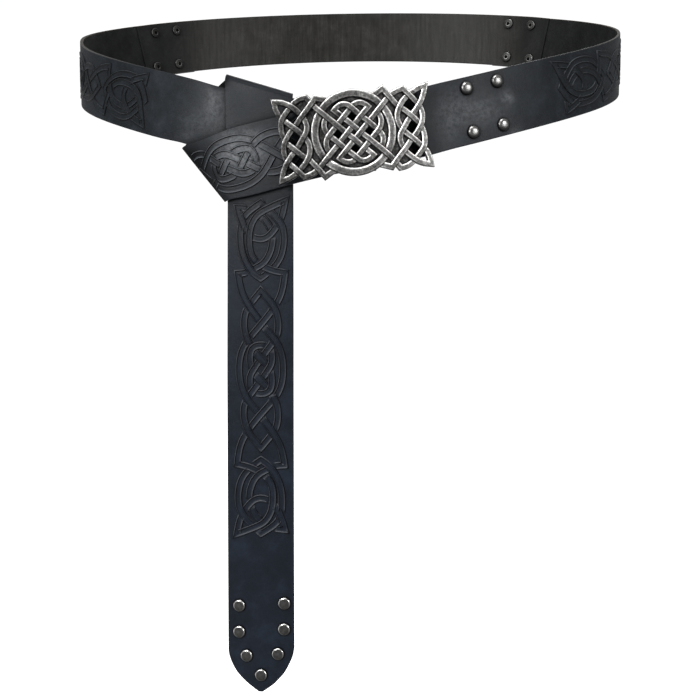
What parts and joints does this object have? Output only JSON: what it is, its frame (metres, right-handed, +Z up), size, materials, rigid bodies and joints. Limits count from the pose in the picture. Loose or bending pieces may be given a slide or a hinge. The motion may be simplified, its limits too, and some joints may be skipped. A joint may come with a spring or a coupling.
{
  "type": "knotted leather long belt",
  "caption": "Long embossed leather belt with a pierced interlace plate buckle, domed rivets and a looped front knot whose pointed tail hangs down.",
  "frame": {"origin": "middle of the waist loop, half way between the middle of its front and the middle of its back", "axes": "+Z up as worn, -Y out of the belt's front through the buckle, +X to the right in a front view"},
  "size_m": [0.3924, 0.2794, 0.486],
  "materials": {
    "strap": "black, embossed, satin, with fine creases",
    "buckle": "antique silver casting, dark stippled recesses, worn bright edges",
    "rivet": "antique silver, dark at the rim"
  },
  "bodies": {
    "root": {"strap_tail": "strap", "strap_right": "strap", "strap_rear": "strap", "buckle_plate": "buckle", "rivet_left_1": "rivet", "rivet_left_2": "rivet", "rivet_left_3": "rivet", "rivet_left_4": "rivet", "rivet_right_1": "rivet", "rivet_right_2": "rivet", "rivet_right_3": "rivet", "rivet_right_4": "rivet", "rivet_front_1": "rivet", "rivet_front_2": "rivet", "rivet_front_3": "rivet", "rivet_front_4": "rivet", "rivet_tail_1": "rivet", "rivet_tail_2": "rivet", "rivet_tail_3": "rivet", "rivet_tail_4": "rivet", "rivet_tail_5": "rivet", "rivet_tail_6": "rivet", "rivet_tail_7": "rivet"}
  },
  "joints": []
}
